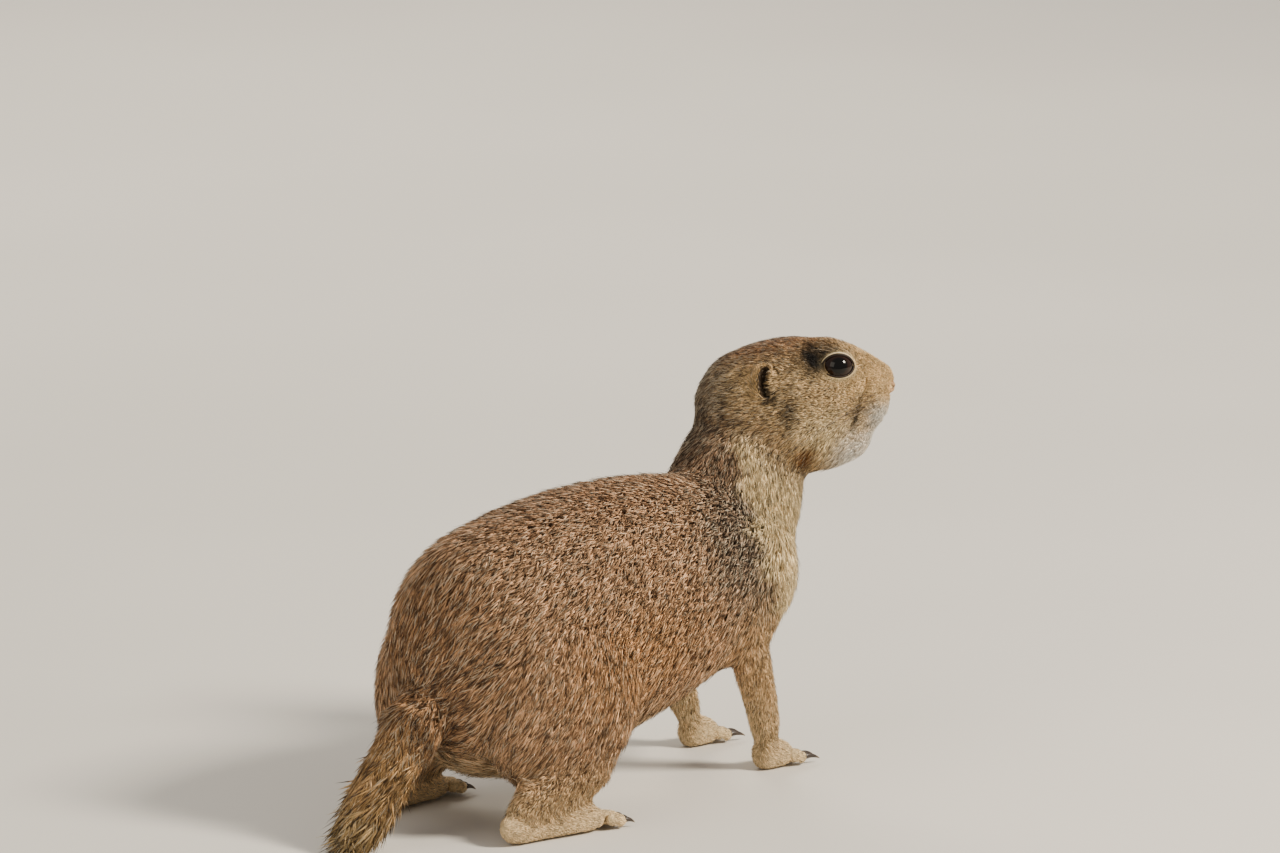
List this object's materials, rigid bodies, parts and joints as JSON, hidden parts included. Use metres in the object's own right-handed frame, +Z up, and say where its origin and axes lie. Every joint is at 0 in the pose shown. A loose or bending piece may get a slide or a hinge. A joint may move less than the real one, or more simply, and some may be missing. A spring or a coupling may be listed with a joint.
{
  "type": "prairie dog",
  "caption": "Still life-size prairie dog, low and alert on four feet, short ears, short tail laid on the floor, head turned to its right.",
  "frame": {"origin": "on the floor, below the middle of the whole animal's box", "axes": "+X from the rump to the chest, the longest extent; +Y to the animal's left; +Z up"},
  "size_m": [0.2708, 0.098, 0.158],
  "materials": {
    "coat": "short grizzled cinnamon-buff fur, paler on the muzzle, throat and belly",
    "paw": "short pale buff fur over bare dark pads, with dark horn claws",
    "eye": "wet, glossy, near-black brown",
    "nose": "fine-grained bare skin, slightly moist"
  },
  "bodies": {
    "root": {"head": "coat", "neck": "coat", "torso_front": "coat", "torso_rear": "coat", "tail": "coat", "ear_left": "coat", "upper_arm_left": "coat", "forearm_left": "coat", "thigh_left": "coat", "shank_left": "coat", "ear_right": "coat", "upper_arm_right": "coat", "forearm_right": "coat", "thigh_right": "coat", "shank_right": "coat", "forefoot_left": "paw", "hindfoot_left": "paw", "forefoot_right": "paw", "hindfoot_right": "paw", "eye_left": "eye", "eye_right": "eye", "nose": "nose"}
  },
  "joints": []
}
